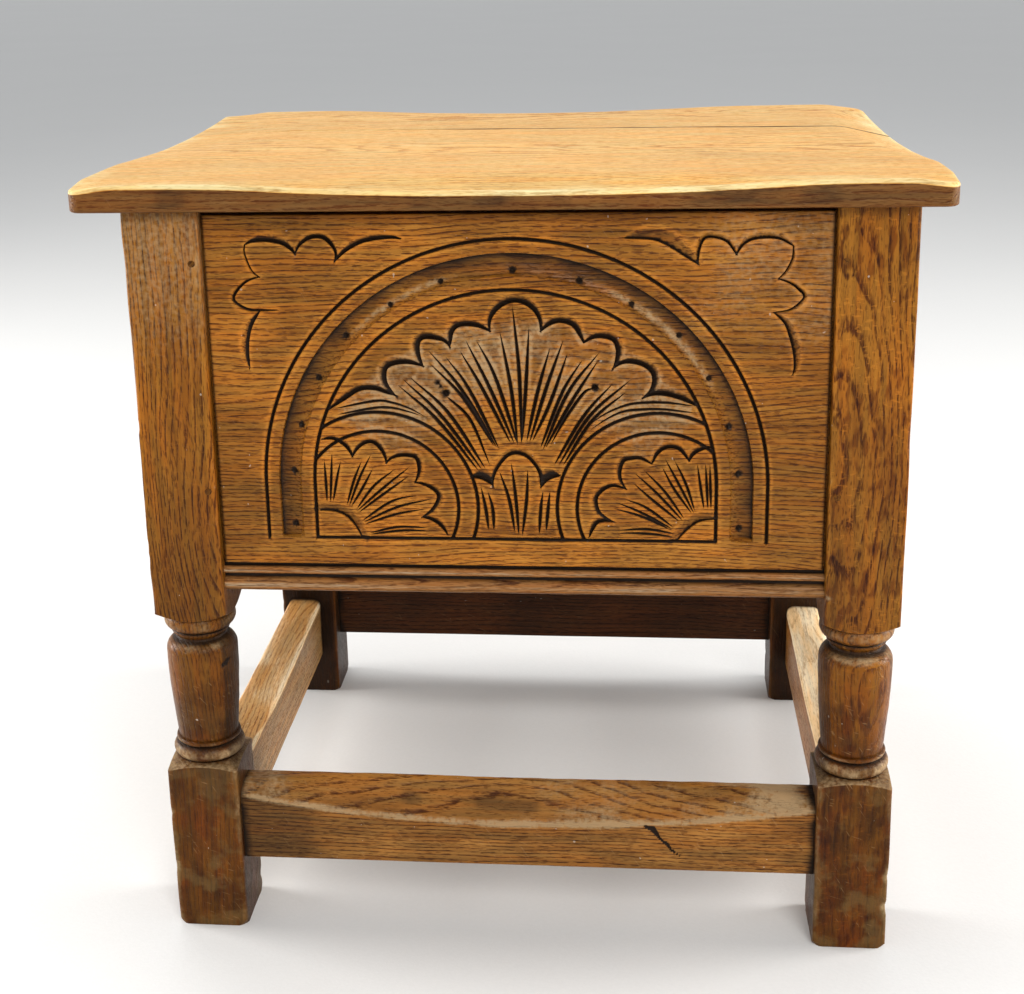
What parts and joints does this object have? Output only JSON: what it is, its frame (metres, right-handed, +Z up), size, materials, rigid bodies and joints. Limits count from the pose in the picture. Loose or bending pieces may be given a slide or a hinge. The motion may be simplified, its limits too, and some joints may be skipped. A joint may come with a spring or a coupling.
{
  "type": "oak box stool",
  "caption": "Oak box on turned legs with low stretchers, a carved front panel with a round arch, and a worn lift-up lid hinged at the back.",
  "frame": {"origin": "on the floor below the middle of the lid", "axes": "+X to the right seen from the carved front, +Y to the back, +Z up"},
  "size_m": [0.53, 0.415, 0.5163],
  "materials": {
    "oak_legs": "waxed",
    "oak_stretchers": "waxed, worn pale",
    "oak_rails": "waxed",
    "oak_panels": "waxed",
    "oak_pegs": "waxed",
    "oak_inside": "bare, aged",
    "oak_lid": "waxed, rubbed bright",
    "brass_hinges": "aged",
    "steel_screws": "dull"
  },
  "bodies": {
    "stand": {"leg_front_left": "oak_legs", "leg_front_right": "oak_legs", "leg_rear_left": "oak_legs", "leg_rear_right": "oak_legs", "stretcher_front": "oak_stretchers", "stretcher_rear": "oak_stretchers", "stretcher_left": "oak_stretchers", "stretcher_right": "oak_stretchers", "front_rail": "oak_rails", "back_rail": "oak_rails", "side_rail_left": "oak_rails", "side_rail_right": "oak_rails", "front_panel": "oak_panels", "back_panel": "oak_panels", "side_panel_left": "oak_panels", "side_panel_right": "oak_panels", "pegs_front": "oak_pegs", "pegs_back": "oak_pegs", "pegs_left": "oak_pegs", "pegs_right": "oak_pegs", "ledger_front": "oak_inside", "ledger_back": "oak_inside", "ledger_screws": "steel_screws", "bottom_board_left": "oak_inside", "bottom_board_middle": "oak_inside", "bottom_board_right": "oak_inside", "hinge_left_box_leaf": "brass_hinges", "hinge_left_pin": "brass_hinges", "hinge_right_box_leaf": "brass_hinges", "hinge_right_pin": "brass_hinges", "hinge_screws_box": "brass_hinges"},
    "lid": {"lid_front_board": "oak_lid", "lid_back_board": "oak_lid", "lid_batten_left": "oak_inside", "lid_batten_right": "oak_inside", "batten_screws": "steel_screws", "hinge_left_lid_leaf": "brass_hinges", "hinge_right_lid_leaf": "brass_hinges", "hinge_screws_lid": "brass_hinges"}
  },
  "joints": [
    {"name": "lid_hinge", "type": "hinge", "parent": "stand", "child": "lid", "pos_m": [0.005, 0.2051, 0.4974], "axis": [-1, 0, 0], "range_deg": [0, 100]}
  ]
}
